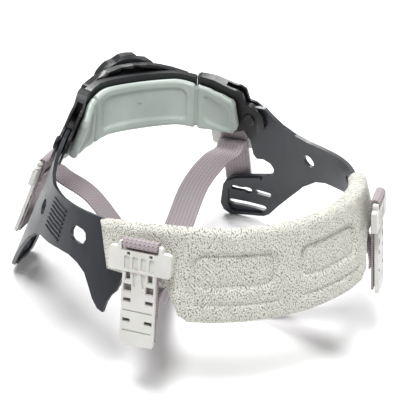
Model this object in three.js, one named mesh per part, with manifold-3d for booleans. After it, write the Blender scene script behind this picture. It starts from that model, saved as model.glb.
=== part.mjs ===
// Ratchet suspension of a miner's safety cap, standing crown side down.
// Millimetres, +Z up, brow at -Y, nape and knob at +Y, symmetric about X = 0.
import * as THREE from 'three';
import { mergeVertices } from 'three/addons/utils/BufferGeometryUtils.js';
import Module from 'manifold-3d';

const wasm = await Module();
wasm.setup();

// Plan of the ring: three tangent arcs on each side, brow, side and nape.
const browRadius = 90;
const browCentreY = -5.5;
const napeRadius = 82;
const napeCentreY = 19.8;
const bandLineHeight = 71.5;
// Moves the part so that its length is centred on the origin.
const centring = -7.15;
const touchGap = 0.3;

// Headband: one moulding, flared outwards towards the crown.
const bandThickness = 2.2;
const browFlare = 13;
const armFlare = 22;
const flareLength = 210;
const pivotAlong = 212;
const pivotUp = 21;
const armEndRadius = 11;
const pinHoleRadius = 2.7;

// Brow pad, a sleeve round the front band.
const padTop = 24.5;
const padBottom = -24;
const padEnd = 103;
const padOuter = 6.2;
const padInner = -4.6;

// Nape assembly, kept on one level above the band line.
const napeInset = 4;
const earGap = 0.8;
const earThickness = 1.5;
const napeRise = 7.5;
const strapHalfHeight = 16.5;
const housingHalf = 43.5;
const twistStart = 218;
const twistEnd = 272;
const padGap = 0.9;

// Rack and pinion of the ratchet.
const pinionPitchRadius = 6;
const pinionTeeth = 12;
const toothPitch = 2 * Math.PI * pinionPitchRadius / pinionTeeth;
const toothDepthHalf = 0.35;
const rackThickness = 2.4;
const rackHeight = 6;
const rackHalfLength = 14;
const rackTeeth = 8;
const knobRadius = 25.5;
const knobGrips = 8;

// Shell keys and webbing.
const keyLength = 53;
const keyHeadHeight = 12.5;
const keyHeadWidth = 33;
const keyStripWidth = 17.6;
const keyThickness = 3;
const webWidth = 18.5;
const webThickness = 1.2;
const floorClearance = 0.34;

const degrees = Math.PI / 180;

// --- solids ---

function solid(geometry) {
  const bare = geometry.index ? geometry.toNonIndexed() : geometry.clone();
  bare.deleteAttribute('normal');
  bare.deleteAttribute('uv');
  const merged = mergeVertices(bare, 1e-4);
  return new wasm.Manifold(new wasm.Mesh({
    numProp: 3,
    vertProperties: new Float32Array(merged.attributes.position.array),
    triVerts: new Uint32Array(merged.index.array),
  }));
}

function geometryOf(body) {
  const mesh = body.getMesh();
  const geometry = new THREE.BufferGeometry();
  geometry.setAttribute('position', new THREE.BufferAttribute(new Float32Array(mesh.vertProperties), 3));
  geometry.setIndex(new THREE.BufferAttribute(new Uint32Array(mesh.triVerts), 1));
  return geometry;
}

function join(first, ...others) {
  return others.reduce((sum, other) => sum.add(other), first);
}

function cut(first, ...others) {
  return others.reduce((rest, other) => rest.subtract(other), first);
}

// An outline extruded along the third axis, between two levels.
function slab(shape, low, high, curveSegments = 6) {
  const geometry = new THREE.ExtrudeGeometry(shape, { depth: high - low, bevelEnabled: false, curveSegments });
  return solid(geometry.translate(0, 0, low));
}

function outline(points) {
  return new THREE.Shape(points.map(([x, y]) => new THREE.Vector2(x, y)));
}

function roundedRect(left, bottom, right, top, radius, corner = 2) {
  const points = [];
  const centres = [[right, top, 0], [left, top, 1], [left, bottom, 2], [right, bottom, 3]];
  for (const [x, y, quarter] of centres) {
    const centreX = x - Math.sign(x - (left + right) / 2) * radius;
    const centreY = y - Math.sign(y - (bottom + top) / 2) * radius;
    for (let n = 0; n <= corner; n += 1) {
      const angle = (quarter + n / corner) * Math.PI / 2;
      points.push([centreX + radius * Math.cos(angle), centreY + radius * Math.sin(angle)]);
    }
  }
  return outline(points);
}

function disc(x, y, radius) {
  return new THREE.Shape().absarc(x, y, radius, 0, 2 * Math.PI);
}

function box(x0, y0, z0, x1, y1, z1) {
  const geometry = new THREE.BoxGeometry(x1 - x0, y1 - y0, z1 - z0);
  return solid(geometry.translate((x0 + x1) / 2, (y0 + y1) / 2, (z0 + z1) / 2));
}

function mirrorSolid(body) {
  return body.scale([-1, 1, 1]);
}

function mirrorMesh(geometry) {
  return geometryOf(mirrorSolid(solid(geometry)));
}

// --- the ring and the surfaces that the flat patterns are bent onto ---

// The side arc touches both other arcs.
const centreRise = napeCentreY - browCentreY;
const sideRadius = (browRadius ** 2 + centreRise ** 2 - napeRadius ** 2) / (2 * (browRadius - napeRadius));
const sideCentreX = browRadius - sideRadius;
const sideAngle = Math.atan2(centreRise, -sideCentreX);
const browLength = browRadius * Math.PI / 2;
const sideLength = sideRadius * sideAngle;
const napeLength = napeRadius * (Math.PI / 2 - sideAngle);
const halfRing = browLength + sideLength + napeLength;

// Point and outward direction at a distance along the ring from the brow's middle, positive towards +X.
function ringAt(along) {
  const turn = ((along + halfRing) % (2 * halfRing) + 2 * halfRing) % (2 * halfRing) - halfRing;
  const side = turn < 0 ? -1 : 1;
  const s = Math.abs(turn);
  let angle;
  let x;
  let y;
  if (s < browLength) {
    angle = s / browRadius - Math.PI / 2;
    x = browRadius * Math.cos(angle);
    y = browCentreY + browRadius * Math.sin(angle);
  } else if (s < browLength + sideLength) {
    angle = (s - browLength) / sideRadius;
    x = sideCentreX + sideRadius * Math.cos(angle);
    y = browCentreY + sideRadius * Math.sin(angle);
  } else {
    angle = sideAngle + (s - browLength - sideLength) / napeRadius;
    x = napeRadius * Math.cos(angle);
    y = napeCentreY + napeRadius * Math.sin(angle);
  }
  return { x: side * x, y, nx: side * Math.cos(angle), ny: Math.sin(angle), s };
}

function bandFlare(s) {
  return (browFlare + (armFlare - browFlare) * Math.min(s / flareLength, 1)) * degrees;
}

// Frame on the flared band: along the ring, up the surface, out of it.
function bandPoint(along, up, out) {
  const ring = ringAt(along);
  const flare = bandFlare(ring.s);
  const reach = out * Math.cos(flare) - up * Math.sin(flare);
  const z = bandLineHeight + up * Math.cos(flare) + out * Math.sin(flare);
  return new THREE.Vector3(ring.x + ring.nx * reach, ring.y + ring.ny * reach, z);
}

// The nape strap leaves the arm's slope and twists upright; its height is measured from its own middle.
function napePoint(along, up, out) {
  const ring = ringAt(along);
  const upright = THREE.MathUtils.smoothstep(ring.s, twistStart, twistEnd);
  const flare = armFlare * degrees * (1 - upright);
  const inset = THREE.MathUtils.lerp(pivotUp * Math.sin(armFlare * degrees), napeInset, upright);
  const level = bandLineHeight + pivotUp * Math.cos(armFlare * degrees) + napeRise * upright;
  const reach = out * Math.cos(flare) - up * Math.sin(flare) - inset;
  const z = level + up * Math.cos(flare) + out * Math.sin(flare);
  return new THREE.Vector3(ring.x + ring.nx * reach, ring.y + ring.ny * reach, z);
}

// Strips that a flat pattern is cut into before it is bent, set off so that no wall lies on a seam.
const seamOffset = 0.137;
const sameCorner = 1e-3;

// Keeps one shared corner for all that meet at the same place on a seam.
function settle(corner, step, seams) {
  const seam = Math.round((corner.x - seamOffset) / step);
  if (Math.abs(corner.x - seamOffset - seam * step) > sameCorner) return corner;
  corner.setX(seam * step + seamOffset);
  if (!seams.has(seam)) seams.set(seam, []);
  const known = seams.get(seam).find((other) => other.distanceTo(corner) < sameCorner);
  if (known) return known;
  corner.seam = seam;
  seams.get(seam).push(corner);
  return corner;
}

// Divides a triangle whose edge on a seam has a neighbour's corner between its ends.
function stitch(triangle, seams) {
  for (let k = 0; k < 3; k += 1) {
    const [a, b, c] = [triangle[k], triangle[(k + 1) % 3], triangle[(k + 2) % 3]];
    if (a.seam === undefined || a.seam !== b.seam) continue;
    const edge = new THREE.Line3(a, b);
    const nearest = new THREE.Vector3();
    const middle = seams.get(a.seam).find((other) => other !== a && other !== b
      && edge.closestPointToPoint(other, true, nearest).distanceTo(other) < sameCorner);
    if (middle) return [...stitch([a, middle, c], seams), ...stitch([middle, b, c], seams)];
  }
  return [triangle];
}

// Bends a flat pattern onto a surface, as strips across it.
function bend(body, surface, step = 7) {
  const reach = body.boundingBox();
  const seams = new Map();
  const triangles = [];
  for (let n = Math.floor((reach.min[0] - seamOffset) / step); n * step + seamOffset < reach.max[0]; n += 1) {
    const from = n * step + seamOffset;
    const strip = body.intersect(box(from, -150, -60, from + step, 150, 60));
    const position = geometryOf(strip).toNonIndexed().attributes.position;
    for (let i = 0; i < position.count; i += 3) {
      const corners = [0, 1, 2].map((k) => {
        const point = new THREE.Vector3().fromBufferAttribute(position, i + k);
        return settle(point, step, seams);
      });
      const { seam } = corners[0];
      const onSeam = seam !== undefined && corners.every((corner) => corner.seam === seam);
      if (!onSeam && new Set(corners).size === 3) triangles.push(corners);
    }
  }
  const corners = triangles.flatMap((triangle) => stitch(triangle, seams)).flat();
  const bent = corners.map((corner) => surface(corner.x, corner.y, corner.z));
  return mergeVertices(new THREE.BufferGeometry().setFromPoints(bent), 1e-4);
}

function mirrored(points) {
  return points.map(([x, y]) => [-x, y]).reverse();
}

// --- meshes and materials ---

const model = new THREE.Group();
const part = new THREE.Group();
part.position.y = centring;
model.add(part);

const finishes = {
  nylonCharcoal: { color: 0x43464d, roughness: 0.45, metalness: 0 },
  plasticBlack: { color: 0x1e1f21, roughness: 0.4, metalness: 0 },
  plasticWhite: { color: 0xf1f1ef, roughness: 0.4, metalness: 0 },
  terry: { color: 0xb9bab0, roughness: 0.95, metalness: 0 },
  foam: { color: 0xd8d4c8, roughness: 0.95, metalness: 0 },
  napeVinyl: { color: 0xa3aea8, roughness: 0.5, metalness: 0 },
  webbing: { color: 0x9d8e90, roughness: 0.9, metalness: 0 },
  steel: { color: 0x9a9c9e, roughness: 0.35, metalness: 1 },
};

function add(name, geometry, finish, parent = part) {
  const mesh = new THREE.Mesh(geometry, new THREE.MeshStandardMaterial(finishes[finish]));
  mesh.name = name;
  parent.add(mesh);
  return mesh;
}

// --- headband ---

// One half of the band's lower edge, from the brow's middle to the lug, then up the neck to the pivot.
const lowerEdge = [
  [0, -18], [46, -18], [51, -16], [55, -6], [60, -4], [80, -4], [84.5, -7], [85, -11], [86.5, -15], [89, -18],
  [90.8, -22], [91.8, -28],
  [95, -27], [99, -23], [103, -17], [107, -12], [113, -9], [121, -7.5], [131, -8.5], [144, -11], [156, -13],
  [166, -17], [179, -27], [192, -42], [203, -56], [211, -68], [215, -71.5],
];
const lugEdge = [
  [231, -76], [235, -76.5], [238.5, -73], [240, -66], [238, -48], [235, -41], [230, -37], [206, -28.5],
];
const gapEdge = [
  [202.5, -26], [201, -21], [203, -16.5], [208, -14.5], [213, -15.5], [215, -12], [215.5, 0], [219, 7],
];
const armTopEdge = [
  [199, 31], [194, 26], [187, 20.5], [177, 16.5], [165, 15], [146, 16], [130, 17.5], [117, 18.5], [95, 20],
  [0, 20],
];

function armEndArc() {
  const points = [];
  for (let turn = -50; turn <= 120; turn += 17) {
    points.push([
      pivotAlong + armEndRadius * Math.cos(turn * degrees),
      pivotUp + armEndRadius * Math.sin(turn * degrees),
    ]);
  }
  return points;
}

const halfBandEdge = [...lowerEdge, ...lugEdge, ...gapEdge, ...armEndArc(), ...armTopEdge];

// Openings of one side: brow window, slot by the pad, round hole, lug windows and the pivot hole.
function armOpenings(depth) {
  const browWindow = roundedRect(7, -5, 48, 11, 6);
  const sideSlot = roundedRect(111, 1, 125, 9, 4);
  const keyhole = roundedRect(224, -50.5, 233, -46.5, 1.5);
  const lugWindow = roundedRect(207, -50, 218, -46, 1.2);
  const lugSlot = roundedRect(212, -65.5, 235, -60.5, 2);
  return [
    slab(browWindow, -depth, depth), slab(sideSlot, -depth, depth),
    slab(disc(168, -1, 4.7), -depth, depth), slab(disc(223, -48.5, 3), -depth, depth),
    slab(keyhole, -depth, depth), slab(lugWindow, -depth, depth), slab(lugSlot, -depth, depth),
    slab(disc(pivotAlong, pivotUp, pinHoleRadius), -depth, depth),
  ];
}

// Raised rim on the inside of the lug and the grip ridges on the outside of the arm.
function armRelief() {
  const half = bandThickness / 2;
  const rim = cut(
    slab(outline([[212, -32], [230, -38], [235, -42], [237.5, -48], [239, -66], [237, -72.5], [233.5, -75],
      [216, -70.5]]), -half - 1.4, -half + 0.4),
    slab(outline([[207, -33], [228.5, -40.5], [232, -44], [234.5, -49], [235.5, -64], [234, -70], [231, -71.5],
      [213, -67]]), -half - 2, -half),
  );
  const ridges = [];
  for (let row = 0; row < 8; row += 1) {
    const up = 11 - row * 2.4;
    ridges.push(slab(outline([[134, up], [154, up], [154, up + 0.9], [134, up + 0.9]]), half - 0.3, half + 0.6));
  }
  return [rim, ...ridges];
}

function headband() {
  const edge = [...halfBandEdge, ...mirrored(halfBandEdge).slice(1, -1)];
  const plate = slab(outline(edge), -bandThickness / 2, bandThickness / 2);
  const relief = armRelief();
  const openings = armOpenings(4);
  const body = cut(
    join(plate, ...relief, ...relief.map(mirrorSolid)),
    ...openings, ...openings.map(mirrorSolid),
  );
  return bend(body, bandPoint, 8);
}
add('headband', headband(), 'nylonCharcoal');

// --- brow pad and the foam in it ---

const halfPadEdge = [
  [0, padBottom], [50, padBottom], [54, padBottom + 2], [57, -16], [60, -9], [64, -4.6], [84, -4.6], [90, -4.6],
  [92.5, -3], [padEnd, 18], [100, 20.6], [86, padTop - 2], [60, padTop], [0, padTop],
];

function browPad() {
  const edge = [...halfPadEdge, ...mirrored(halfPadEdge).slice(1, -1)];
  const sleeve = slab(outline(edge), padInner, padOuter);
  const slot = bandThickness / 2 + touchGap;
  const bandRoom = box(-padEnd - 1, -18.4, -slot, padEnd + 1, 20.4, slot);
  const foamRoom = box(-50.4, -15.4, slot - 0.1, 50.4, 17.4, 4.2);
  const openBelow = box(50, -30, -slot, padEnd + 1, 0, slot);
  const body = cut(sleeve, bandRoom, foamRoom, openBelow, mirrorSolid(openBelow));
  return bend(body, bandPoint, 11);
}
add('brow_pad', browPad(), 'terry');
add('brow_foam', bend(box(-50, -15, 1.5, 50, 17, 3.9), bandPoint, 14), 'foam');

// --- nape straps, each a flat tube that ends in a fork round the arm ---

const wallOuter = bandThickness / 2 + earGap;
const faceOuter = wallOuter + earThickness;

function strapEdge(from, to) {
  return [
    [to, -strapHalfHeight], [to, strapHalfHeight], [to - 2, strapHalfHeight + 2],
    [from + 24, strapHalfHeight + 4.8],
    [from + 12, strapHalfHeight + 6], [from + 2, strapHalfHeight + 6], [from - 2, strapHalfHeight + 4],
    [from - 4, armEndRadius - 3], [from, 1 - armEndRadius], [from + 10, 2 - strapHalfHeight],
    [from + 22, -strapHalfHeight],
  ];
}

function napeStrap() {
  const end = halfRing - housingHalf - touchGap;
  const body = slab(outline(strapEdge(pivotAlong + 4, end)), -faceOuter, faceOuter);
  const ears = slab(disc(pivotAlong, 0, armEndRadius + 1), -faceOuter, faceOuter, 8);
  const hollowHalf = strapHalfHeight - 1.6;
  const hollow = box(pivotAlong - 20, -hollowHalf, -wallOuter, end + 1, hollowHalf, wallOuter);
  const forkMouth = box(pivotAlong - 20, -30, -wallOuter, pivotAlong + 17, 30, wallOuter);
  const pinHole = slab(disc(pivotAlong, 0, pinHoleRadius), -6, 6);
  return bend(cut(join(body, ears), hollow, forkMouth, pinHole), napePoint, 4);
}
const strapMesh = napeStrap();
add('nape_strap_right', strapMesh, 'plasticBlack');
add('nape_strap_left', mirrorMesh(strapMesh), 'plasticBlack');

// Pivot pins: a shank through the fork with a head on each side.
function pivotPin() {
  const shank = pinHoleRadius - touchGap;
  const head = faceOuter + touchGap;
  const profile = [[0, -head - 1.4], [3.6, -head - 1.2], [4.4, -head - 0.5], [4.4, -head], [shank, -head],
    [shank, head], [4.4, head], [4.4, head + 0.5], [3.6, head + 1.2], [0, head + 1.4]];
  const turned = new THREE.LatheGeometry(profile.map(([x, y]) => new THREE.Vector2(x, y)), 16);
  return bend(solid(turned.rotateX(Math.PI / 2).translate(pivotAlong, 0, 0)), napePoint, 9);
}
const pinMesh = pivotPin();
add('pivot_pin_right', pinMesh, 'plasticBlack');
add('pivot_pin_left', mirrorMesh(pinMesh), 'plasticBlack');

// --- nape pad: three cushions on one skin, notched between them ---

function napePad() {
  const half = [[housingHalf - 2, 13.6], [housingHalf, 12], [housingHalf + 2, 14.4], [57, 16], [67, 17.4], [75, 17],
    [78.5, 13]];
  const lower = [[75.5, -8], [72, -11.6], [57, -14.6], [housingHalf + 2, -16.8], [housingHalf, -15.4],
    [housingHalf - 2, -17.4]];
  const right = [[0, 13], ...half, ...lower, [0, -18.5]];
  const left = right.slice(1, -1).map(([x, y]) => [-x, y]).reverse();
  const inner = -faceOuter - padGap;
  const skin = slab(outline([...right, ...left].reverse()), inner - 5.3, inner);
  const sideEnd = 71;
  const wells = [
    slab(roundedRect(4 - housingHalf, -14, housingHalf - 4, 9, 4), inner - 6, inner - 4.3),
    slab(roundedRect(housingHalf + 5, -10.5, sideEnd, 11.5, 4), inner - 6, inner - 4.3),
    slab(roundedRect(-sideEnd, -10.5, -housingHalf - 5, 11.5, 4), inner - 6, inner - 4.3),
  ];
  return bend(cut(skin, ...wells).translate([halfRing, 0, 0]), napePoint, 4);
}
add('nape_pad', napePad(), 'napeVinyl');

// --- ratchet: base, racks, pinion, detent spring, cover, knob and screws ---

function housingOutline(inset) {
  const end = housingHalf - 4 - inset;
  const upper = [[end, 11 - inset], [end - 3, 14.5 - inset], [19, 19 - inset], [10, 20.7 - inset],
    [0, 21.2 - inset],
    [-10, 20.7 - inset], [-19, 19 - inset], [3 - end, 14.5 - inset], [-end, 11 - inset]];
  return outline([...upper, ...upper.map(([x, y]) => [-x, -y])]);
}

function screwSites() {
  return [[-22, 0], [22, 0]];
}

function ratchetBase() {
  const outlineOfPlate = roundedRect(-housingHalf, -strapHalfHeight, housingHalf, strapHalfHeight, 1);
  const plate = slab(outlineOfPlate, -faceOuter, wallOuter);
  const runway = box(-60, 1.6 - strapHalfHeight, -wallOuter, 60, strapHalfHeight - 1.6, wallOuter + 1);
  const posts = screwSites().map(([x, y]) => slab(disc(x, y, 3.2), -wallOuter - 0.2, wallOuter));
  const bores = screwSites().map(([x, y]) => slab(disc(x, y, 1.5), -wallOuter, wallOuter + 1));
  const axlePost = slab(disc(0, 0, 1.7), -wallOuter - 0.2, -rackThickness / 2);
  const body = cut(join(cut(plate, runway), ...posts, axlePost), ...bores);
  return bend(body.translate([halfRing, 0, 0]), napePoint, 8);
}
add('ratchet_base', ratchetBase(), 'plasticBlack');

// Teeth along one edge of a rack, spaced so that a gap faces the pinion's middle tooth.
function rack(side) {
  const tip = pinionPitchRadius - toothDepthHalf;
  const root = pinionPitchRadius + toothDepthHalf + touchGap;
  const half = rackThickness / 2;
  const bar = box(-rackHalfLength, root, -half, rackHalfLength, root + rackHeight, half);
  const teeth = [];
  for (let n = 0; n < rackTeeth; n += 1) {
    const x = (n + 0.5 - rackTeeth / 2) * toothPitch;
    teeth.push(slab(outline([[x - 0.7, root + 0.2], [x - 0.35, tip], [x + 0.35, tip], [x + 0.7, root + 0.2]]),
      -rackThickness / 2, rackThickness / 2));
  }
  const flat = join(bar, ...teeth);
  const turned = side > 0 ? flat : flat.rotate([0, 0, 180]);
  return bend(turned.translate([halfRing, 0, 0]), napePoint, 9);
}
add('rack_right', rack(1), 'plasticBlack');
add('rack_left', rack(-1), 'plasticBlack');

// Levels of the cover and the knob behind the strap's middle.
const coverBack = wallOuter + touchGap;
const knobStandOff = 7.4;

// Pieces on the knob's axle are built along +Z and laid along +Y at the back of the ring.
const axle = new THREE.Group();
axle.position.copy(napePoint(halfRing, 0, 0));
axle.rotation.set(-Math.PI / 2, 0, 0);
part.add(axle);

function pinion() {
  const outer = pinionPitchRadius + toothDepthHalf;
  const root = pinionPitchRadius - toothDepthHalf - touchGap;
  let wheel = slab(disc(0, 0, root), -rackThickness / 2 + touchGap, 3.2, 8);
  for (let n = 0; n < pinionTeeth; n += 1) {
    const tooth = slab(outline([[root - 0.4, -0.8], [outer, -0.4], [outer, 0.4], [root - 0.4, 0.8]]),
      -rackThickness / 2 + touchGap, rackThickness / 2);
    wheel = wheel.add(tooth.rotate([0, 0, 360 * n / pinionTeeth]));
  }
  const hub = slab(disc(0, 0, 4.2), 3, coverBack + knobStandOff + 4 - touchGap, 5);
  const bore = slab(disc(0, 0, 1.4), -2, 14, 3);
  return geometryOf(cut(join(wheel, hub), bore));
}
add('pinion', pinion(), 'plasticWhite', axle);


function ratchetCover() {
  const shell = slab(housingOutline(0), 0, 5.6);
  const room = slab(housingOutline(2), -1, 3.8);
  const lip = slab(disc(0, 0, 17), 3.4, 6.4, 8);
  const lipRoom = slab(disc(0, 0, 15), 2.6, 10, 8);
  const axleHole = slab(disc(0, 0, 4.6), -1, 10, 5);
  const floor = slab(disc(0, 0, 15.5), 3.6, 4.6, 8);
  const posts = screwSites().map(([x, y]) => slab(disc(x, y, 3.2), 0.4, 4.2));
  const bores = screwSites().map(([x, y]) => join(slab(disc(x, y, 1.8), -1, 7), slab(disc(x, y, 3), 3.6, 7)));
  const body = cut(join(cut(join(cut(shell, room), lip), lipRoom), floor, ...posts), axleHole, ...bores);
  const flat = body.translate([halfRing, 0, coverBack + 0.4]);
  return bend(flat, napePoint, 9);
}
add('ratchet_cover', ratchetCover(), 'plasticBlack');

// Toothed ring of the detent and the sprung arm that clicks in it.
function detentSpring() {
  const ring = cut(slab(disc(0, 0, 8.2), 0, 1.4, 7), slab(disc(0, 0, 6.2), -1, 3, 6));
  const arm = slab(outline([[7.2, -1], [12.6, -3.4], [13.4, -2.4], [8, 1]]), 0, 1.4);
  const otherArm = arm.rotate([0, 0, 180]);
  return geometryOf(join(ring, arm, otherArm));
}
const detentLevel = coverBack + 5.6;
add('detent_spring', detentSpring(), 'plasticWhite', axle).position.z = detentLevel;

function knob() {
  const low = coverBack + knobStandOff;
  const profile = [[0, 4], [knobRadius - 9, 4], [knobRadius - 8, 0], [knobRadius - 2, 0], [knobRadius, 2],
    [knobRadius, 8], [knobRadius - 3, 11.5], [knobRadius - 10, 13], [0, 14]];
  const turned = new THREE.LatheGeometry(profile.map(([x, y]) => new THREE.Vector2(x, y)), 36);
  const dome = solid(turned.rotateX(Math.PI / 2));
  const grips = [];
  for (let n = 0; n < knobGrips; n += 1) {
    const turn = 360 * (n + 0.5) / knobGrips - 90;
    grips.push(slab(disc(knobRadius + 5.2, 0, 7.4), -1, 20, 5).rotate([0, 0, turn]));
  }
  const screwBore = slab(disc(0, 0, 1.9), -1, 20, 4);
  const screwWell = slab(disc(0, 0, 3.8), 9, 20, 5);
  return geometryOf(cut(dome, ...grips, screwBore, screwWell).translate([0, 0, low]));
}
add('knob', knob(), 'plasticBlack', axle);

function screwGeometry(shankRadius, shankLength, headRadius, headHeight) {
  const profile = [[0, -shankLength], [shankRadius, -shankLength + 0.5], [shankRadius, 0], [headRadius, 0],
    [headRadius, headHeight * 0.5], [headRadius * 0.6, headHeight], [0, headHeight]];
  const turned = new THREE.LatheGeometry(profile.map(([x, y]) => new THREE.Vector2(x, y)), 14);
  const recess = join(
    box(-headRadius * 0.6, -0.4, headHeight * 0.4, headRadius * 0.6, 0.4, headHeight + 1),
    box(-0.4, -headRadius * 0.6, headHeight * 0.4, 0.4, headRadius * 0.6, headHeight + 1),
  );
  return cut(solid(turned.rotateX(Math.PI / 2)), recess);
}
const knobScrew = geometryOf(screwGeometry(1.2, 15, 3.3, 1.8));
add('knob_screw', knobScrew, 'steel', axle).position.z = coverBack + knobStandOff + 9 + touchGap;

for (const [side, [x, y]] of Object.entries({ right: screwSites()[0], left: screwSites()[1] })) {
  const level = coverBack + 4 + touchGap;
  const flat = screwGeometry(1.2, 5.4, 2.6, 1.4).translate([halfRing + x, y, level]);
  add(`housing_screw_${side}`, bend(flat, napePoint, 9), 'steel');
}

// --- shell keys ---

// Key in its own frame: y up from the middle of the head, z out, back face at z = 0.
const keyTop = keyHeadHeight / 2;
const keyTip = keyTop - keyLength;
const barTop = keyTop + 3;
const windowCentre = 5.9;

function key() {
  const half = keyHeadWidth / 2;
  const strip = keyStripWidth / 2;
  const slotHalf = webWidth / 2 + 0.5;
  const ends = slab(roundedRect(-half, -keyTop, half, keyTop, 1.6), 0, keyThickness);
  const middle = slab(roundedRect(-slotHalf - 2.1, -keyTop, slotHalf + 2.1, barTop, 1.6), 0, keyThickness);
  const blade = slab(outline([
    [-strip, -keyTop + 1], [-strip - 0.3, keyTip + 2], [-strip + 0.2, keyTip + 0.8], [-2.6, keyTip + 0.6],
    [-1.8, keyTip], [1.8, keyTip], [2.6, keyTip + 0.6], [strip - 0.2, keyTip + 0.8], [strip + 0.3, keyTip + 2],
    [strip, -keyTop + 1]]), 0.4, keyThickness - 0.4);
  const cuts = [];
  for (const x of [-6.6, -2.2, 2.2, 6.6]) {
    cuts.push(slab(roundedRect(x - 1.4, -keyTop + 1.4, x + 1.4, -keyTop + 8.4, 0.5), keyThickness - 0.9, 6));
  }
  for (const x of [-windowCentre, windowCentre]) {
    cuts.push(slab(disc(x, 3.5, 1), -1, 5, 4));
    cuts.push(box(x - 1.3, -keyTop - 4.6, -1, x + 1.3, -keyTop - 0.2, 5));
    cuts.push(box(x - 2.1, -keyTop - 11, -1, x + 2.1, -keyTop - 6.6, 5));
    cuts.push(box(x - 2.1, -keyTop - 16.6, -1, x + 2.1, -keyTop - 14.2, 5));
    cuts.push(box(x - 2.1, -keyTop - 27.6, -1, x + 2.1, -keyTop - 25.4, 5));
  }
  for (const x of [-2.2, 2.2]) {
    const sign = Math.sign(x);
    const recess = [[x - 1.3, -keyTop - 0.2], [x - 0.5 + sign * 0.2, -keyTop - 8],
      [x + 0.5 + sign * 0.2, -keyTop - 8], [x + 1.3, -keyTop - 0.2]];
    cuts.push(slab(outline(recess.reverse()), keyThickness - 1.2, 6));
  }
  const webSlot = box(-slotHalf, barTop - 4.4, -1, slotHalf, barTop - 1.6, 6);
  const barFront = box(-slotHalf, barTop - 2, 1.6, slotHalf, barTop + 1, 6);
  const grooves = [-keyTop - 21, -keyTop - 32].map((y) => box(-strip + 1, y - 0.4, keyThickness - 1,
    strip - 1, y + 0.4, keyThickness));
  return cut(join(ends, middle, blade), ...cuts, webSlot, barFront, ...grooves);
}

// Where each key stands on the band: distance along it, height of its head, height off it and its own lean.
const frontKey = { along: 71.5, up: 6.8, out: padOuter + webThickness + 3, lean: -10 };
const rearKey = { along: 230, up: -9, out: 6.5, lean: 0 };
const keySites = {
  front_right: { ...frontKey, side: 1 },
  front_left: { ...frontKey, side: -1 },
  rear_right: { ...rearKey, side: 1 },
  rear_left: { ...rearKey, side: -1 },
};

// Upright frame at a key: x along the band, y up it, z out of it.
function keyFrame(site) {
  const along = site.side * site.along;
  const origin = bandPoint(along, site.up, site.out);
  const outward = bandPoint(along, site.up, site.out + 1).sub(origin);
  const upward = bandPoint(along, site.up + 1, site.out).sub(origin).normalize();
  const onward = new THREE.Vector3().crossVectors(upward, outward).normalize();
  const frame = new THREE.Matrix4().makeBasis(onward, upward, outward.normalize());
  frame.multiply(new THREE.Matrix4().makeRotationX(-site.lean * degrees));
  frame.setPosition(origin);
  return frame;
}

const keyBody = key();
for (const [place, site] of Object.entries(keySites)) {
  add(`key_${place}`, geometryOf(keyBody).applyMatrix4(keyFrame(site)), 'plasticWhite');
}

// --- webbing ---

// A flat ribbon laid along a curve; its width turns evenly from one direction to the other.
function ribbon(points, startWidth, endWidth, steps) {
  const curve = new THREE.CatmullRomCurve3(points, false, 'centripetal');
  const geometry = new THREE.BoxGeometry(1, webWidth, webThickness, steps, 2, 1);
  const position = geometry.attributes.position;
  const centre = new THREE.Vector3();
  const width = new THREE.Vector3();
  for (let i = 0; i < position.count; i += 1) {
    const t = THREE.MathUtils.clamp(position.getX(i) + 0.5, 0, 1);
    curve.getPointAt(t, centre);
    const along = curve.getTangentAt(t);
    width.lerpVectors(startWidth, endWidth, THREE.MathUtils.smoothstep(t, 0.05, 0.95));
    width.addScaledVector(along, -width.dot(along)).normalize();
    const face = new THREE.Vector3().crossVectors(along, width);
    centre.addScaledVector(width, position.getY(i)).addScaledVector(face, position.getZ(i));
    position.setXYZ(i, centre.x, centre.y, centre.z);
  }
  return mergeVertices(bareCopy(geometry), 1e-4);
}

function bareCopy(geometry) {
  const bare = geometry.toNonIndexed();
  bare.deleteAttribute('normal');
  bare.deleteAttribute('uv');
  return bare;
}

// Loop over the key's top bar and down behind the key, in the key's frame as height and distance out of it.
const behind = -webThickness / 2 - 0.35;
const barLoop = [[barTop - 3, 0.8], [barTop - 2.2, 2.5], [barTop - 0.6, 3], [barTop + 0.9, 2],
  [barTop + 1.2, 0.6], [barTop + 0.8, -0.8], [barTop - 1, behind - 0.1]];
const loopTail = [[keyTop - 6, behind], [-8, behind], [-20, behind], [keyTip + 3, behind]];

function inFrame(frame, points) {
  return points.map(([y, z]) => new THREE.Vector3(0, y, z).applyMatrix4(frame));
}

const keyWidths = {};
for (const [place, site] of Object.entries(keySites)) {
  const frame = keyFrame(site);
  keyWidths[place] = new THREE.Vector3().setFromMatrixColumn(frame, 0);
  const route = inFrame(frame, [...barLoop, ...loopTail]);
  add(`key_loop_${place}`, ribbon(route, keyWidths[place], keyWidths[place], 24), 'webbing');
}

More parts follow.
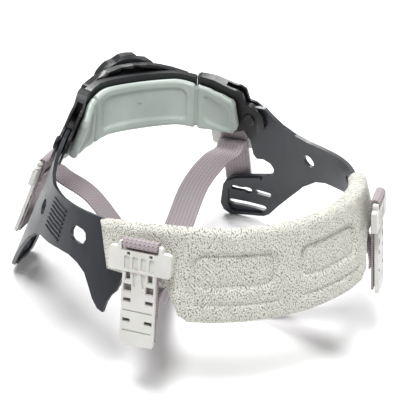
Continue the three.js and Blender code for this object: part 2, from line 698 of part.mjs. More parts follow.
// Crown straps: sewn to the back of each loop, in under the band and across the crown near the floor.
const webFloor = webThickness / 2 + floorClearance;
const sewn = behind - webThickness - touchGap;
const frontEnd = [[-31, sewn], [-24, sewn], [-19.8, sewn - 1.2], [-17.8, sewn - 5], [-18.2, sewn - 11],
  [-21, sewn - 19]];
const rearEnd = [[-5, sewn], [keyTop - 5, sewn], [keyTop - 3.5, sewn - 1.6], [keyTop - 3.2, sewn - 5],
  [keyTop - 4.4, sewn - 11]];
const crownRoutes = {
  crown_strap_upper: { rear: 'rear_right', front: 'front_left', flip: [1, -1], points: [
    [45, 69, 59], [27, 60, 49], [5, 39, 32.5], [-12, 22, 22], [-28, 0, 22], [-43, -28, 31], [-54, -50, 42]] },
  crown_strap_lower: { rear: 'rear_left', front: 'front_right', flip: [-1, 1], points: [
    [-44, 65, 52], [-30, 49, 30], [-16, 32, 11], [-8, 22, 2.6], [-1, 13, webFloor], [7, 3, webFloor],
    [14, -6, webFloor], [20, -14, webFloor], [29, -26, 5], [41, -41, 20], [51, -53, 36]] },
};

function crownStrap({ rear, front, flip, points }) {
  const route = [
    ...inFrame(keyFrame(keySites[rear]), rearEnd),
    ...points.map(([x, y, z]) => new THREE.Vector3(x, y, z)),
    ...inFrame(keyFrame(keySites[front]), frontEnd).reverse(),
  ];
  const startWidth = keyWidths[rear].clone().multiplyScalar(flip[0]);
  const endWidth = keyWidths[front].clone().multiplyScalar(flip[1]);
  return ribbon(route, startWidth, endWidth, 48);
}
for (const [name, route] of Object.entries(crownRoutes)) {
  add(name, crownStrap(route), 'webbing');
}

export default model;
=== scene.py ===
import math

import bmesh
import bpy
from mathutils import Matrix, Vector


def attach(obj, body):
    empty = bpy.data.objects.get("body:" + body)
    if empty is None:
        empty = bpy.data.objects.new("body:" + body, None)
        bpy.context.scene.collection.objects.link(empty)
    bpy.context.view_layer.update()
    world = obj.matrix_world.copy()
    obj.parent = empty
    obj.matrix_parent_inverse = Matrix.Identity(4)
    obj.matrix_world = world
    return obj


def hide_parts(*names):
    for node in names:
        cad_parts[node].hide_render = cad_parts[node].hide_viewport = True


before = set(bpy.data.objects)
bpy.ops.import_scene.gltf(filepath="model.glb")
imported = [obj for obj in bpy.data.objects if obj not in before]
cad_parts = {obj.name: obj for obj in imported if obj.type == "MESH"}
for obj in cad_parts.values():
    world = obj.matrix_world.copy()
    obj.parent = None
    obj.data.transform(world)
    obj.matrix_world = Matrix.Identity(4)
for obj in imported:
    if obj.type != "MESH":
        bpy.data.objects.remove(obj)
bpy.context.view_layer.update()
millimetre = 0.001


# ---- camera ----

cameraView = {
    "azimuth": -27.3,       # degrees, towards the left ear
    "elevation": 25.07,
    "distance": 601.5,      # millimetres from the middle of the band
    "lens": 93.07,
    "roll": 2.02,
    "target": (0.0, -7.15, 71.5),
    "shift": (-0.0029, -0.0126),
}


def placeCamera(view):
    azimuth, elevation, roll = (math.radians(view[key]) for key in ("azimuth", "elevation", "roll"))
    back = Vector((
        math.sin(azimuth) * math.cos(elevation),
        -math.cos(azimuth) * math.cos(elevation),
        math.sin(elevation),
    ))
    right = Vector((math.cos(azimuth), math.sin(azimuth), 0.0))
    up = back.cross(right)
    turnedRight = right * math.cos(roll) + up * math.sin(roll)
    turnedUp = up * math.cos(roll) - right * math.sin(roll)
    data = bpy.data.cameras.new("camera")
    data.lens = view["lens"]
    data.sensor_width = 36.0
    data.shift_x, data.shift_y = view["shift"]
    data.clip_start, data.clip_end = 0.01, 20.0
    camera = bpy.data.objects.new("camera", data)
    bpy.context.scene.collection.objects.link(camera)
    place = (Vector(view["target"]) + back * view["distance"]) * millimetre
    turn = Matrix((turnedRight, turnedUp, back)).transposed().to_4x4()
    camera.matrix_world = Matrix.Translation(place) @ turn
    bpy.context.scene.camera = camera


placeCamera(cameraView)
print("camera placed")


# ---- the band's own surfaces, in millimetres ----

ringPlan = {
    "browRadius": 90.0,
    "browCentre": -5.5,
    "napeRadius": 82.0,
    "napeCentre": 19.8,
    "bandLine": 71.5,
    "centring": -7.15,
    "browFlare": 13.0,
    "armFlare": 22.0,
    "flareLength": 210.0,
    "pivotUp": 21.0,
    "napeInset": 4.0,
    "napeRise": 7.5,
    "twist": (218.0, 272.0),
}

centreRise = ringPlan["napeCentre"] - ringPlan["browCentre"]
sideRadius = (
    (ringPlan["browRadius"] ** 2 + centreRise ** 2 - ringPlan["napeRadius"] ** 2)
    / (2 * (ringPlan["browRadius"] - ringPlan["napeRadius"]))
)
sideCentre = ringPlan["browRadius"] - sideRadius
sideAngle = math.atan2(centreRise, -sideCentre)
browLength = ringPlan["browRadius"] * math.pi / 2
sideLength = sideRadius * sideAngle
halfRing = browLength + sideLength + ringPlan["napeRadius"] * (math.pi / 2 - sideAngle)


def smoothStep(value, low, high):
    t = min(max((value - low) / (high - low), 0.0), 1.0)
    return t * t * (3 - 2 * t)


def ringAt(along):
    turn = (along + halfRing) % (2 * halfRing) - halfRing
    side = -1.0 if turn < 0 else 1.0
    s = abs(turn)
    if s < browLength:
        angle = s / ringPlan["browRadius"] - math.pi / 2
        radius, centre = ringPlan["browRadius"], (0.0, ringPlan["browCentre"])
    elif s < browLength + sideLength:
        angle = (s - browLength) / sideRadius
        radius, centre = sideRadius, (sideCentre, ringPlan["browCentre"])
    else:
        angle = sideAngle + (s - browLength - sideLength) / ringPlan["napeRadius"]
        radius, centre = ringPlan["napeRadius"], (0.0, ringPlan["napeCentre"])
    x = centre[0] + radius * math.cos(angle)
    y = centre[1] + radius * math.sin(angle)
    return Vector((side * x, y, 0.0)), Vector((side * math.cos(angle), math.sin(angle), 0.0)), s


def bandPoint(along, up, out):
    point, outward, s = ringAt(along)
    share = min(s / ringPlan["flareLength"], 1.0)
    flare = math.radians(ringPlan["browFlare"] + (ringPlan["armFlare"] - ringPlan["browFlare"]) * share)
    reach = out * math.cos(flare) - up * math.sin(flare)
    height = ringPlan["bandLine"] + up * math.cos(flare) + out * math.sin(flare)
    return point + outward * reach + Vector((0.0, ringPlan["centring"], height))


def napePoint(along, up, out):
    point, outward, s = ringAt(along)
    upright = smoothStep(s, *ringPlan["twist"])
    lean = math.radians(ringPlan["armFlare"])
    flare = lean * (1 - upright)
    inset = ringPlan["pivotUp"] * math.sin(lean) * (1 - upright) + ringPlan["napeInset"] * upright
    level = ringPlan["bandLine"] + ringPlan["pivotUp"] * math.cos(lean) + ringPlan["napeRise"] * upright
    reach = out * math.cos(flare) - up * math.sin(flare) - inset
    height = level + up * math.cos(flare) + out * math.sin(flare)
    return point + outward * reach + Vector((0.0, ringPlan["centring"], height))


# ---- materials ----

def hexColour(code):
    parts = [int(code[i:i + 2], 16) / 255 for i in (0, 2, 4)]
    return [p / 12.92 if p <= 0.04045 else ((p + 0.055) / 1.055) ** 2.4 for p in parts] + [1.0]


def addNode(tree, kind, settings=None, inputs=None):
    node = tree.nodes.new(kind)
    for key, value in (settings or {}).items():
        setattr(node, key, value)
    for key, value in (inputs or {}).items():
        if isinstance(value, bpy.types.NodeSocket):
            tree.links.new(value, node.inputs[key])
        else:
            node.inputs[key].default_value = value
    return node


def newMaterial(name, shader):
    material = bpy.data.materials.new(name)
    material.use_nodes = True
    tree = material.node_tree
    tree.nodes.clear()
    principled = addNode(tree, "ShaderNodeBsdfPrincipled", inputs=shader)
    addNode(tree, "ShaderNodeOutputMaterial", inputs={"Surface": principled.outputs[0]})
    return material, tree, principled


def colourSteps(tree, factor, steps):
    ramp = addNode(tree, "ShaderNodeValToRGB", inputs={"Fac": factor})
    stops = ramp.color_ramp.elements
    while len(stops) < len(steps):
        stops.new(0.5)
    for stop, (place, code) in zip(stops, steps):
        stop.position = place
        stop.color = hexColour(code)
    return ramp.outputs["Color"]


def mouldedNylon(name, tones, roughness, grain, grainHeight, shader=None):
    # Injection-moulded nylon: even colour, a fine spark-eroded grain and a soft satin gloss.
    settings = {"IOR": 1.53}
    settings.update(shader or {})
    material, tree, principled = newMaterial(name, settings)
    place = addNode(tree, "ShaderNodeTexCoord").outputs["Object"]
    clouds = addNode(tree, "ShaderNodeTexNoise", inputs={"Vector": place, "Scale": 1 / 0.022, "Detail": 4.0})
    tone = colourSteps(tree, clouds.outputs["Fac"], [(0.32, tones[0]), (0.68, tones[1])])
    tree.links.new(tone, principled.inputs["Base Color"])
    gloss = addNode(tree, "ShaderNodeMapRange", inputs={
        "Value": clouds.outputs["Fac"], "From Min": 0.3, "From Max": 0.7,
        "To Min": roughness[0], "To Max": roughness[1],
    })
    tree.links.new(gloss.outputs[0], principled.inputs["Roughness"])
    pores = addNode(tree, "ShaderNodeTexNoise", inputs={"Vector": place, "Scale": 1 / grain, "Detail": 3.0})
    bump = addNode(tree, "ShaderNodeBump", inputs={
        "Strength": 0.5, "Distance": grainHeight, "Height": pores.outputs["Fac"],
    })
    tree.links.new(bump.outputs[0], principled.inputs["Normal"])
    return material


charcoalNylon = mouldedNylon("charcoal moulded nylon", ("1c1f25", "272b32"), (0.3, 0.42), 0.0009, 0.00008)
blackNylon = mouldedNylon("black moulded nylon", ("17181a", "202124"), (0.3, 0.44), 0.0008, 0.00006)
whiteNylon = mouldedNylon(
    "natural white moulded nylon", ("c4c4c0", "d2d2ce"), (0.34, 0.44), 0.001, 0.00005,
    {"Subsurface Weight": 0.12, "Subsurface Scale": 0.002},
)


def terryCloth():
    # Cotton terry: small looped pile in rows, a painted highlight on the loop tips over painted shade in the
    # roots between the loops, and a dry dusty sheen.
    material, tree, principled = newMaterial("grey cotton terry cloth", {
        "Roughness": 0.95, "Sheen Weight": 0.35, "Sheen Roughness": 0.6, "IOR": 1.45,
    })
    laid = addNode(tree, "ShaderNodeUVMap", {"uv_map": "cloth"}).outputs["UV"]
    # The loops are 0.7 mm apart in rows on the bias.
    turned = addNode(tree, "ShaderNodeMapping", inputs={
        "Vector": laid, "Rotation": (0.0, 0.0, math.radians(38)), "Scale": (1 / 0.7, 1 / 0.9, 1.0),
    })
    wander = addNode(tree, "ShaderNodeTexNoise", inputs={"Vector": laid, "Scale": 0.35, "Detail": 3.0})
    shaken = addNode(tree, "ShaderNodeVectorMath", {"operation": "MULTIPLY_ADD"}, {
        0: wander.outputs["Color"], 1: (1.2, 1.2, 0.0), 2: turned.outputs["Vector"],
    })
    loops = addNode(tree, "ShaderNodeTexVoronoi", {"voronoi_dimensions": "2D"}, {
        "Vector": shaken.outputs["Vector"], "Scale": 1.0, "Randomness": 0.85,
    })
    # Painted light and shade: each loop is pale in its middle as a painted highlight and darkens to painted
    # shade in the gaps between loops, where the bump is lowest.
    tone = colourSteps(tree, loops.outputs["Distance"], [
        (0.12, "f0efe6"), (0.45, "cbcac0"), (0.85, "6a6961"),
    ])
    patches = addNode(tree, "ShaderNodeTexNoise", inputs={"Vector": laid, "Scale": 0.16, "Detail": 5.0})
    shade = colourSteps(tree, patches.outputs["Fac"], [(0.3, "cfcec8"), (0.7, "ffffff")])
    mixed = addNode(tree, "ShaderNodeMix", {"data_type": "RGBA", "blend_type": "MULTIPLY"}, {
        "Factor": 0.45, "A": tone, "B": shade,
    })
    tree.links.new(mixed.outputs["Result"], principled.inputs["Base Color"])
    bump = addNode(tree, "ShaderNodeBump", {"invert": True}, {
        "Strength": 0.9, "Distance": 0.0006, "Height": loops.outputs["Distance"],
    })
    tree.links.new(bump.outputs[0], principled.inputs["Normal"])
    return material


def softVinyl():
    # Moulded soft vinyl over foam: smooth, faintly pebbled, with a broad soft highlight.
    material, tree, principled = newMaterial("sage soft vinyl", {
        "Roughness": 0.38, "Coat Weight": 0.15, "Coat Roughness": 0.3, "IOR": 1.52,
    })
    place = addNode(tree, "ShaderNodeTexCoord").outputs["Object"]
    clouds = addNode(tree, "ShaderNodeTexNoise", inputs={"Vector": place, "Scale": 1 / 0.03, "Detail": 3.0})
    tone = colourSteps(tree, clouds.outputs["Fac"], [(0.3, "9faaa4"), (0.7, "aeb8b2")])
    tree.links.new(tone, principled.inputs["Base Color"])
    pebbles = addNode(tree, "ShaderNodeTexVoronoi", inputs={"Vector": place, "Scale": 1 / 0.0011})
    bump = addNode(tree, "ShaderNodeBump", inputs={
        "Strength": 0.25, "Distance": 0.00012, "Height": pebbles.outputs["Distance"],
    })
    tree.links.new(bump.outputs[0], principled.inputs["Normal"])
    return material


def wovenWebbing():
    # Polyester webbing: herringbone ribs along the strap, a tight selvedge and a slight sheen.
    material, tree, principled = newMaterial("mauve grey polyester webbing", {
        "Roughness": 0.82, "Sheen Weight": 0.1, "Sheen Roughness": 0.4, "IOR": 1.5,
    })
    laid = addNode(tree, "ShaderNodeUVMap", {"uv_map": "cloth"}).outputs["UV"]
    parts = addNode(tree, "ShaderNodeSeparateXYZ", inputs={"Vector": laid})
    across, along = parts.outputs["X"], parts.outputs["Y"]
    # Ribs are 2.3 mm wide, eight across the strap; threads slant across them every 1.4 mm, painted darker
    # where they lie low as painted shade.
    rib = addNode(tree, "ShaderNodeMath", {"operation": "PINGPONG"}, {0: across, 1: 1.15})
    slant = addNode(tree, "ShaderNodeMath", {"operation": "MULTIPLY_ADD"}, {
        0: rib.outputs[0], 1: 0.8, 2: along,
    })
    threads = addNode(tree, "ShaderNodeMath", {"operation": "PINGPONG"}, {0: slant.outputs[0], 1: 0.7})
    height = addNode(tree, "ShaderNodeMath", {"operation": "MULTIPLY_ADD"}, {
        0: rib.outputs[0], 1: 0.3, 2: threads.outputs[0],
    })
    noise = addNode(tree, "ShaderNodeTexNoise", inputs={"Vector": laid, "Scale": 1.6, "Detail": 3.0})
    fuzzAndWeaveShade = addNode(tree, "ShaderNodeMath", {"operation": "MULTIPLY_ADD"}, {
        0: noise.outputs["Fac"], 1: 0.5, 2: height.outputs[0],
    })
    # The colour follows the weave height plus random fuzz: painted shade darkens the low threads and the
    # hollows between the ribs, and the raised threads stay light.
    tone = colourSteps(tree, fuzzAndWeaveShade.outputs[0], [(0.28, "50454a"), (0.5, "8f8488"), (0.95, "aaa0a3")])
    tree.links.new(tone, principled.inputs["Base Color"])
    bump = addNode(tree, "ShaderNodeBump", inputs={
        "Strength": 0.8, "Distance": 0.0003, "Height": height.outputs[0],
    })
    tree.links.new(bump.outputs[0], principled.inputs["Normal"])
    return material


def zincSteel():
    # Zinc-plated steel screws: bright grey metal, finely scratched.
    material, tree, principled = newMaterial("zinc plated steel", {"Metallic": 1.0})
    place = addNode(tree, "ShaderNodeTexCoord").outputs["Object"]
    scratches = addNode(tree, "ShaderNodeTexNoise", inputs={
        "Vector": place, "Scale": 1 / 0.0006, "Detail": 4.0,
    })
    tone = colourSteps(tree, scratches.outputs["Fac"], [(0.3, "a5a8ab"), (0.7, "c6c9cb")])
    tree.links.new(tone, principled.inputs["Base Color"])
    gloss = addNode(tree, "ShaderNodeMapRange", inputs={
        "Value": scratches.outputs["Fac"], "To Min": 0.22, "To Max": 0.45,
    })
    tree.links.new(gloss.outputs[0], principled.inputs["Roughness"])
    return material


terry = terryCloth()
vinyl = softVinyl()
webbing = wovenWebbing()
zinc = zincSteel()
print("materials made")


# ---- making a piece ----

def finishPiece(name, bm, material, body, replaced, weighted=True):
    mesh = bpy.data.meshes.new(name)
    bm.to_mesh(mesh)
    bm.free()
    mesh.materials.append(material)
    piece = bpy.data.objects.new(name, mesh)
    bpy.context.scene.collection.objects.link(piece)
    if weighted:
        even = piece.modifiers.new("even shading", "WEIGHTED_NORMAL")
        even.keep_sharp = True
    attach(piece, body)
    if replaced:
        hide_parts(*replaced)
    return piece


def mergedCopy(node):
    bm = bmesh.new()
    bm.from_mesh(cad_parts[node].data)
    for layer in list(bm.loops.layers.uv):
        bm.loops.layers.uv.remove(layer)
    bmesh.ops.remove_doubles(bm, verts=bm.verts, dist=0.004 * millimetre)
    return bm


def softenEdges(bm, width, segments, sharpest):
    # Merges each flat face, then bevels the edges that turn by more than the given angle.
    # The bevel is far narrower than asked, and next to nothing on the band, straps, cover and keys.
    bmesh.ops.dissolve_limit(
        bm, angle_limit=math.radians(0.6), verts=bm.verts, edges=bm.edges, use_dissolve_boundaries=False,
    )
    corners = [e for e in bm.edges if e.is_manifold and e.calc_face_angle(0.0) > math.radians(sharpest)]
    bmesh.ops.bevel(
        bm, geom=corners, offset=width * millimetre, offset_type="OFFSET", affect="EDGES",
        segments=segments, profile=0.5, material=-1, clamp_overlap=True, loop_slide=True,
    )
    bmesh.ops.remove_doubles(bm, verts=bm.verts, dist=0.001 * millimetre)
    for face in bm.faces:
        face.smooth = True
    for edge in bm.edges:
        edge.smooth = edge.calc_face_angle(0.0) < math.radians(50)


mouldedPieces = {
    # piece: CAD node, material, body, edge rounding asked for in millimetres
    "band": ("headband", charcoalNylon, "headgear", 0.45),
    "strapRight": ("nape_strap_right", blackNylon, "nape", 0.5),
    "strapLeft": ("nape_strap_left", blackNylon, "nape", 0.5),
    "pinRight": ("pivot_pin_right", blackNylon, "headgear", 0.2),
    "pinLeft": ("pivot_pin_left", blackNylon, "headgear", 0.2),
    "housingBase": ("ratchet_base", blackNylon, "nape", 0.4),
    "housingCover": ("ratchet_cover", blackNylon, "nape", 0.7),
    "keyFrontRight": ("key_front_right", whiteNylon, "headgear", 0.35),
    "keyFrontLeft": ("key_front_left", whiteNylon, "headgear", 0.35),
    "keyRearRight": ("key_rear_right", whiteNylon, "headgear", 0.35),
    "keyRearLeft": ("key_rear_left", whiteNylon, "headgear", 0.35),
    "sizeKnob": ("knob", blackNylon, "size_knob", 0.8),
}

edgeSegments = 2
sharpestPlain = 38      # degrees; an edge that turns by more than this is rounded

for name, (node, material, body, rounding) in mouldedPieces.items():
    bm = mergedCopy(node)
    softenEdges(bm, rounding, edgeSegments, sharpestPlain)
    finishPiece(name, bm, material, body, [node])
print("moulded pieces made")

for node, material in {
    "rack_right": blackNylon, "rack_left": blackNylon, "pinion": whiteNylon, "detent_spring": whiteNylon,
    "knob_screw": zinc, "housing_screw_right": zinc, "housing_screw_left": zinc,
}.items():
    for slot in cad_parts[node].material_slots:
        slot.material = material


# ---- padded pieces ----

def gridSheet(columns, rows):
    # A sheet of squares, its corners measured from -1 to 1 across and up.
    bm = bmesh.new()
    bmesh.ops.create_grid(bm, x_segments=columns, y_segments=rows, size=1.0)
    return bm


def edgeAt(points, along):
    # Height of an edge given as a few points, eased between them.
    for (x0, y0), (x1, y1) in zip(points, points[1:]):
        if x0 <= along <= x1:
            return y0 + (y1 - y0) * smoothStep(along, x0, x1)
    return points[-1][1] if along > points[-1][0] else points[0][1]


def panelDistance(along, up, panel):
    left, low, right, high, corner = panel
    x = abs(along - (left + right) / 2) - (right - left) / 2 + corner
    y = abs(up - (low + high) / 2) - (high - low) / 2 + corner
    return math.hypot(max(x, 0.0), max(y, 0.0)) + min(max(x, y), 0.0) - corner


def crowded(t, power):
    # Draws the rows of a sheet together at its rim.
    return math.copysign(1 - (1 - abs(t)) ** power, t)


def roundedRim(distance, radius):
    left = 1 - min(distance / radius, 1.0)
    return math.sqrt(max(1 - left * left, 0.0))


def pillow(columns, rows, place):
    # Two sheets, front and back, that meet all round their rim.
    # The place function gives each point and where it lies on the flat cloth.
    bm = gridSheet(columns, rows)
    for vert in bm.verts:
        vert.co.z = 1.0
    bottom = bmesh.ops.duplicate(bm, geom=bm.verts[:] + bm.edges[:] + bm.faces[:])["geom"]
    backFaces = [g for g in bottom if isinstance(g, bmesh.types.BMFace)]
    bmesh.ops.reverse_faces(bm, faces=backFaces)
    for vert in bottom:
        if isinstance(vert, bmesh.types.BMVert):
            vert.co.z = -1.0
    uv = bm.loops.layers.uv.new("cloth")
    where = {}
    for vert in bm.verts:
        where[vert] = place(vert.co.x, vert.co.y, vert.co.z)
    for face in bm.faces:
        for loop in face.loops:
            loop[uv].uv = where[loop.vert][1]
    for vert, (point, cloth) in where.items():
        vert.co = point * millimetre
    bmesh.ops.remove_doubles(bm, verts=bm.verts, dist=0.01 * millimetre)
    for face in bm.faces:
        face.smooth = True
    return bm


browPadShape = {
    "bottom": [
        (0, -24), (49, -24), (53.5, -21.5), (56.5, -15.5), (60, -8.5), (64.5, -4.6), (93, -4.6), (103, -4),
    ],
    "top": [(0, 24.5), (62, 24.5), (86, 22.5), (97, 20.8), (103, 19)],
    "end": (92.5, 102.5),       # distance along the band at the pad's lower and upper corner
    "middle": 0.8,
    "half": 5.3,
    "rim": 5.0,
    "panel": (7, -5.5, 48, 11.5, 6),
    "panelDepth": 1.9,
    "groove": 1.6,
    "panelEdge": (-1.2, 0.6),
    "grooveWidth": 1.1,
    "seamHeight": -14.0,
    "seamSpan": (6, 49),
    "seamFade": 2,
    "seamDepth": 1.1,
    "seamWidth": 1.0,
    "unevenness": 0.16,
    "crowding": (1.25, 1.6),    # how far the columns and rows draw towards the rim
    "grid": (300, 84),
}


def browPadPlace(x, y, face):
    shape = browPadShape
    v = (crowded(y, shape["crowding"][1]) + 1) / 2
    end = shape["end"][0] + (shape["end"][1] - shape["end"][0]) * v
    along = crowded(x, shape["crowding"][0]) * end
    s = abs(along)
    low, high = edgeAt(shape["bottom"], s), edgeAt(shape["top"], s)
    up = low + (high - low) * v
    rim = min(end - s, up - low, high - up)
    out = shape["middle"] + face * shape["half"] * roundedRim(rim, shape["rim"])
    if face > 0:
        distance = panelDistance(s, up, shape["panel"])
        out -= shape["panelDepth"] * (1 - smoothStep(distance, *shape["panelEdge"]))
        out -= shape["groove"] * math.exp(-((distance / shape["grooveWidth"]) ** 2))
        (start, stop), fade = shape["seamSpan"], shape["seamFade"]
        seam = smoothStep(s, start - fade, start + fade)
        seam *= 1 - smoothStep(s, stop - fade, stop + fade)
        out -= shape["seamDepth"] * seam * math.exp(-(((up - shape["seamHeight"]) / shape["seamWidth"]) ** 2))
        # The cloth lies a little unevenly over the foam.
        out += shape["unevenness"] * math.sin(along * 0.31 + up * 0.17) * math.sin(up * 0.29 - along * 0.11)
    return bandPoint(along, up, out), (along, up)


browPad = finishPiece(
    "browPad", pillow(*browPadShape["grid"], browPadPlace), terry, "headgear", ["brow_pad", "brow_foam"],
    weighted=False,
)
print("brow pad made")

napePadShape = {
    "top": [(0, 13), (41.5, 13.6), (43.5, 12), (45.5, 14.4), (57, 16), (67, 17.4), (75, 17), (78.5, 13)],
    "bottom": [
        (0, -18.5), (41.5, -17.4), (43.5, -15.4), (45.5, -16.8), (57, -14.6), (72, -11.6),
        (75.5, -8), (78.5, -3),
    ],
    "end": 78.0,
    "outer": -4.3,
    "thickness": 5.4,
    "rim": 2.6,
    "panels": [(-36.5, -13, 36.5, 8.5, 5), (49, -9.5, 72, 11, 4.5)],
    "panelDepth": 1.5,
    "panelEdge": (-2.2, 0.6),
    "notches": 43.5,
    "notchDepth": 1.7,
    "notchWidth": 1.3,
    "nub": (0, 0, 1.3),
    "nubRise": 0.9,
    "nubCrown": 0.5,
    "crowding": (1.15, 1.5),
    "grid": (260, 60),
}


def napePadPlace(x, y, face):
    shape = napePadShape
    v = (crowded(y, shape["crowding"][1]) + 1) / 2
    fromMiddle = crowded(x, shape["crowding"][0]) * shape["end"]
    s = abs(fromMiddle)
    low, high = edgeAt(shape["bottom"], s), edgeAt(shape["top"], s)
    up = low + (high - low) * v
    rim = min(shape["end"] - s, up - low, high - up)
    half = shape["thickness"] / 2
    out = shape["outer"] - half + face * half * roundedRim(rim, shape["rim"])
    if face < 0:
        middlePanel, sidePanel = shape["panels"]
        distance = min(panelDistance(fromMiddle, up, middlePanel), panelDistance(s, up, sidePanel))
        out += shape["panelDepth"] * (1 - smoothStep(distance, *shape["panelEdge"]))
        out += shape["notchDepth"] * math.exp(-(((s - shape["notches"]) / shape["notchWidth"]) ** 2))
        nubX, nubY, nubSize = shape["nub"]
        fromNub = math.hypot(fromMiddle - nubX, up - nubY)
        out -= shape["nubRise"] * (1 - smoothStep(fromNub, shape["nubCrown"], nubSize))
    return napePoint(halfRing + fromMiddle, up, out), (fromMiddle, up)


napePadMesh = pillow(*napePadShape["grid"], napePadPlace)
bmesh.ops.reverse_faces(napePadMesh, faces=napePadMesh.faces)
bmesh.ops.recalc_face_normals(napePadMesh, faces=napePadMesh.faces)
napePad = finishPiece("napePad", napePadMesh, vinyl, "nape", ["nape_pad"], weighted=False)
print("nape pad made")


# ---- webbing ----

webbingShape = {
    "width": 18.5,
    "thickness": 1.2,
    "keyHead": 12.5,
    "keyLength": 53.0,
    "floorClearance": 0.34,
    "barRise": 3.0,
    "edgeRounding": 0.35,
    "rows": 6,
    "loopSteps": 90,
    "strapSteps": 260,
    "gap": 0.3,
}

keyTop = webbingShape["keyHead"] / 2
keyTip = keyTop - webbingShape["keyLength"]
barTop = keyTop + webbingShape["barRise"]
behind = -webbingShape["thickness"] / 2 - 0.35
sewn = behind - webbingShape["thickness"] - webbingShape["gap"]
webFloor = webbingShape["thickness"] / 2 + webbingShape["floorClearance"]
frontKey = {"along": 71.5, "up": 6.8, "out": 10.4, "lean": -10}
rearKey = {"along": 230, "up": -9, "out": 6.5, "lean": 0}
keySites = {
    "front_right": (frontKey, 1), "front_left": (frontKey, -1),
    "rear_right": (rearKey, 1), "rear_left": (rearKey, -1),
}


def keyFrame(site, side):
    along = side * site["along"]
    origin = bandPoint(along, site["up"], site["out"])
    outward = (bandPoint(along, site["up"], site["out"] + 1) - origin).normalized()
    upward = (bandPoint(along, site["up"] + 1, site["out"]) - origin).normalized()
    onward = upward.cross(outward).normalized()
    turn = Matrix((onward, upward, outward)).transposed().to_4x4()
    return Matrix.Translation(origin) @ turn @ Matrix.Rotation(math.radians(-site["lean"]), 4, "X")


def smoothRoute(points, perSpan=24):
    # A centripetal curve through the points, as short even steps.
    ends = [points[0] * 2 - points[1]] + points + [points[-1] * 2 - points[-2]]
    route = []
    for p0, p1, p2, p3 in zip(ends, ends[1:], ends[2:], ends[3:]):
        d0, d1, d2 = (max((b - a).length, 1e-4) ** 0.5 for a, b in ((p0, p1), (p1, p2), (p2, p3)))
        m1 = ((p1 - p0) / d0 - (p2 - p0) / (d0 + d1) + (p2 - p1) / d1) * d1
        m2 = ((p2 - p1) / d1 - (p3 - p1) / (d1 + d2) + (p3 - p2) / d2) * d1
        for step in range(perSpan):
            t = step / perSpan
            bend = (p2 * 3 - p1 * 3 - m1 * 2 - m2) * t ** 2
            route.append(p1 + m1 * t + bend + (p1 * 2 - p2 * 2 + m1 + m2) * t ** 3)
    return route + [points[-1]]


def evenly(route, count):
    # Points and directions at equal distances along a route, and its length.
    lengths = [0.0]
    for a, b in zip(route, route[1:]):
        lengths.append(lengths[-1] + (b - a).length)
    found, k = [], 0
    for step in range(count + 1):
        wanted = lengths[-1] * step / count
        while k < len(route) - 2 and lengths[k + 1] < wanted:
            k += 1
        share = (wanted - lengths[k]) / max(lengths[k + 1] - lengths[k], 1e-6)
        found.append(route[k].lerp(route[k + 1], share))
    directions = [
        (found[min(i + 1, count)] - found[max(i - 1, 0)]).normalized() for i in range(count + 1)
    ]
    return found, directions, lengths[-1]


def ribbon(name, points, startWidth, endWidth, replaced, steps):
    centres, directions, length = evenly(smoothRoute(points), steps)
    bm = gridSheet(steps, webbingShape["rows"])
    uv = bm.loops.layers.uv.new("cloth")
    for face in bm.faces:
        for loop in face.loops:
            t, w = (loop.vert.co.x + 1) / 2, loop.vert.co.y / 2
            loop[uv].uv = ((w + 0.5) * webbingShape["width"], t * length)
    for vert in bm.verts:
        t, w = (vert.co.x + 1) / 2, vert.co.y / 2
        k = round(t * steps)
        width = startWidth.lerp(endWidth, smoothStep(t, 0.05, 0.95))
        width = (width - directions[k] * width.dot(directions[k])).normalized()
        vert.co = (centres[k] + width * w * webbingShape["width"]) * millimetre
    for face in bm.faces:
        face.smooth = True
    piece = finishPiece(name, bm, webbing, "headgear", [replaced], weighted=False)
    wall = piece.modifiers.new("thickness", "SOLIDIFY")
    wall.thickness = webbingShape["thickness"] * millimetre
    wall.offset = 0.0
    edge = piece.modifiers.new("soft edge", "BEVEL")
    edge.width = webbingShape["edgeRounding"] * millimetre
    edge.segments = 2
    edge.limit_method = "ANGLE"
    return piece


def inFrame(place, points):
    site, side = keySites[place]
    return [keyFrame(site, side) @ Vector((0.0, y, z)) for y, z in points]


def keyWidth(place):
    site, side = keySites[place]
    return keyFrame(site, side).to_3x3().col[0].copy()


loopRoute = [
    (barTop - 3, 0.8), (barTop - 2.2, 2.5), (barTop - 0.6, 3), (barTop + 0.9, 2), (barTop + 1.2, 0.6),
    (barTop + 0.8, -0.8), (barTop - 1, behind - 0.1),
    (keyTop - 6, behind), (-8, behind), (-20, behind), (keyTip + 3, behind),
]
for place in keySites:
    ribbon(
        "loop" + place.title().replace("_", ""), inFrame(place, loopRoute), keyWidth(place), keyWidth(place),
        "key_loop_" + place, webbingShape["loopSteps"],
    )

frontEnd = [
    (-31, sewn), (-24, sewn), (-19.8, sewn - 1.2), (-17.8, sewn - 5), (-18.2, sewn - 11), (-21, sewn - 19),
]
rearEnd = [
    (-5, sewn), (keyTop - 5, sewn), (keyTop - 3.5, sewn - 1.6), (keyTop - 3.2, sewn - 5),
    (keyTop - 4.4, sewn - 11),
]
crownStraps = {
    "upper": {"rear": "rear_right", "front": "front_left", "flip": (1, -1), "points": [
        (45, 69, 59), (27, 60, 49), (5, 39, 32.5), (-12, 22, 22), (-28, 0, 22), (-43, -28, 31),
        (-54, -50, 42)]},
    "lower": {"rear": "rear_left", "front": "front_right", "flip": (-1, 1), "points": [
        (-44, 65, 52), (-30, 49, 30), (-16, 32, 11), (-8, 22, 2.6), (-1, 13, webFloor), (7, 3, webFloor),
        (14, -6, webFloor), (20, -14, webFloor), (29, -26, 5), (41, -41, 20), (51, -53, 36)]},
}
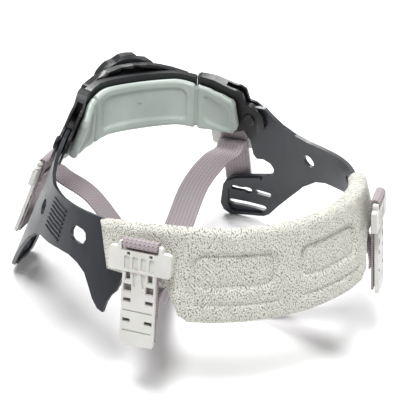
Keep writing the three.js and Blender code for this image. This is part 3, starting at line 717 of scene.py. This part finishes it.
for level, strap in crownStraps.items():
    shifted = [Vector((x, y + ringPlan["centring"], z)) for x, y, z in strap["points"]]
    route = inFrame(strap["rear"], rearEnd) + shifted + inFrame(strap["front"], frontEnd)[::-1]
    ribbon(
        "crownStrap" + level.title(), route, keyWidth(strap["rear"]) * strap["flip"][0],
        keyWidth(strap["front"]) * strap["flip"][1], "crown_strap_" + level, webbingShape["strapSteps"],
    )
print("webbing made")


# ---- floor and light ----

studio = {
    "floor": "f4f4f4",
    "floorSize": 3.0,
    "sky": 0.34,
    "aim": (0, 0, 0.06),
    # light: place in metres, diameter, power in watts
    "lights": {
        "keyLight": ((-0.3, -0.4, 1.1), 0.4, 11.0),
        "fillLight": ((0.8, -0.3, 0.8), 0.7, 3.5),
        "backLight": ((0.1, 0.7, 1.0), 0.6, 12.0),
    },
}


def paintedFloor():
    # Matt painted board: pale and even, with a barely visible roller texture.
    material, tree, principled = newMaterial("matt pale board", {"Roughness": 0.9})
    place = addNode(tree, "ShaderNodeTexCoord").outputs["Object"]
    clouds = addNode(tree, "ShaderNodeTexNoise", inputs={"Vector": place, "Scale": 8.0})
    tone = colourSteps(tree, clouds.outputs["Fac"], [(0.3, "f2f2f2"), (0.7, studio["floor"])])
    tree.links.new(tone, principled.inputs["Base Color"])
    return material


floorMesh = bmesh.new()
bmesh.ops.create_grid(floorMesh, x_segments=1, y_segments=1, size=studio["floorSize"])
floorData = bpy.data.meshes.new("floor")
floorMesh.to_mesh(floorData)
floorMesh.free()
floorData.materials.append(paintedFloor())
floor = bpy.data.objects.new("floor", floorData)
bpy.context.scene.collection.objects.link(floor)

world = bpy.data.worlds.new("studio")
bpy.context.scene.world = world
world.use_nodes = True
background = world.node_tree.nodes["Background"]
background.inputs["Color"].default_value = (1.0, 1.0, 1.0, 1.0)
background.inputs["Strength"].default_value = studio["sky"]


def softLight(name, place, size, power):
    data = bpy.data.lights.new(name, "AREA")
    data.shape = "DISK"
    data.size = size
    data.energy = power
    light = bpy.data.objects.new(name, data)
    light.location = place
    light.rotation_euler = (Vector(studio["aim"]) - Vector(place)).to_track_quat("-Z", "Y").to_euler()
    bpy.context.scene.collection.objects.link(light)


for name, (place, size, power) in studio["lights"].items():
    softLight(name, place, size, power)
bpy.context.scene.view_settings.view_transform = "Standard"
print("studio lit")
